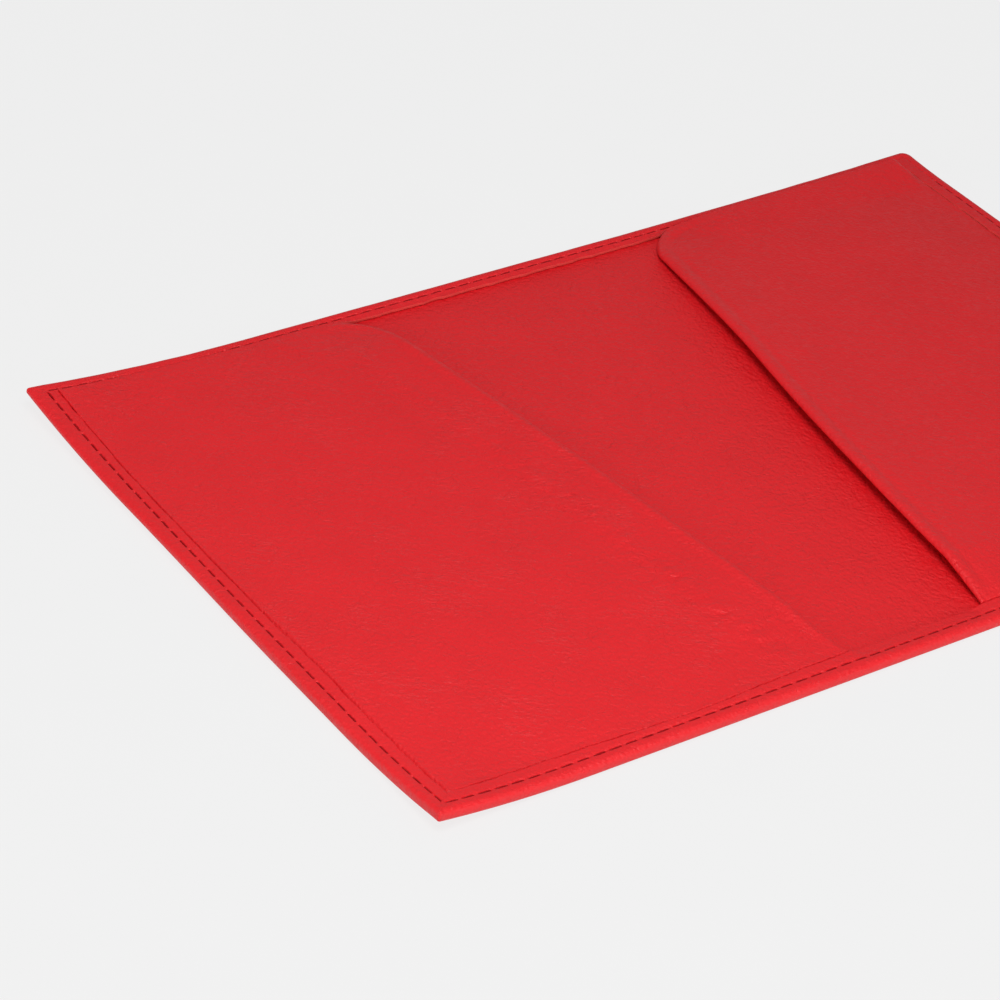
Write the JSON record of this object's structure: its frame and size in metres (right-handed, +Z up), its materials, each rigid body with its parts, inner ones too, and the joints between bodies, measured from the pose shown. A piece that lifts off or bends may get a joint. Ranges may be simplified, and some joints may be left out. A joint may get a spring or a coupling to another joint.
{
  "type": "passport holder wallet",
  "caption": "Open-flat leather passport holder with a turned and stitched hem, a slanted pocket on each half and a folding spine.",
  "frame": {"origin": "on the underside, at the middle of the open cover's width and depth", "axes": "+X from the left pocket to the right pocket, +Y from the near edge to the far edge, +Z up out of the inside face"},
  "size_m": [0.204, 0.132, 0.005],
  "materials": {
    "cover_leather": "fine pebbled grain, satin",
    "lining_leather": "fine grain, matte",
    "pocket_leather": "fine pebbled grain, satin",
    "stiffener_board": "bonded fibre board, matte",
    "thread": "twisted polyester, slight sheen"
  },
  "bodies": {
    "left_half": {"outer_cover_left": "cover_leather", "lining_left": "lining_leather", "stiffener_left": "stiffener_board", "pocket_left": "pocket_leather", "needle_thread_left": "thread", "bobbin_thread_left": "thread"},
    "spine": {"outer_cover_spine": "cover_leather", "lining_spine": "lining_leather", "needle_thread_spine": "thread", "bobbin_thread_spine": "thread"},
    "right_half": {"outer_cover_right": "cover_leather", "lining_right": "lining_leather", "stiffener_right": "stiffener_board", "pocket_right": "pocket_leather", "needle_thread_right": "thread", "bobbin_thread_right": "thread"}
  },
  "joints": [
    {"name": "left_fold", "type": "hinge", "parent": "left_half", "child": "spine", "pos_m": [-0.0025, 0, 0.0024], "axis": [0, -1, 0], "range_deg": [0, 90]},
    {"name": "right_fold", "type": "hinge", "parent": "spine", "child": "right_half", "pos_m": [0.0025, 0, 0.0024], "axis": [0, -1, 0], "range_deg": [0, 90]}
  ],
  "couplings": [
    {"joint": "right_fold", "follows": "left_fold", "ratio": 1}
  ]
}
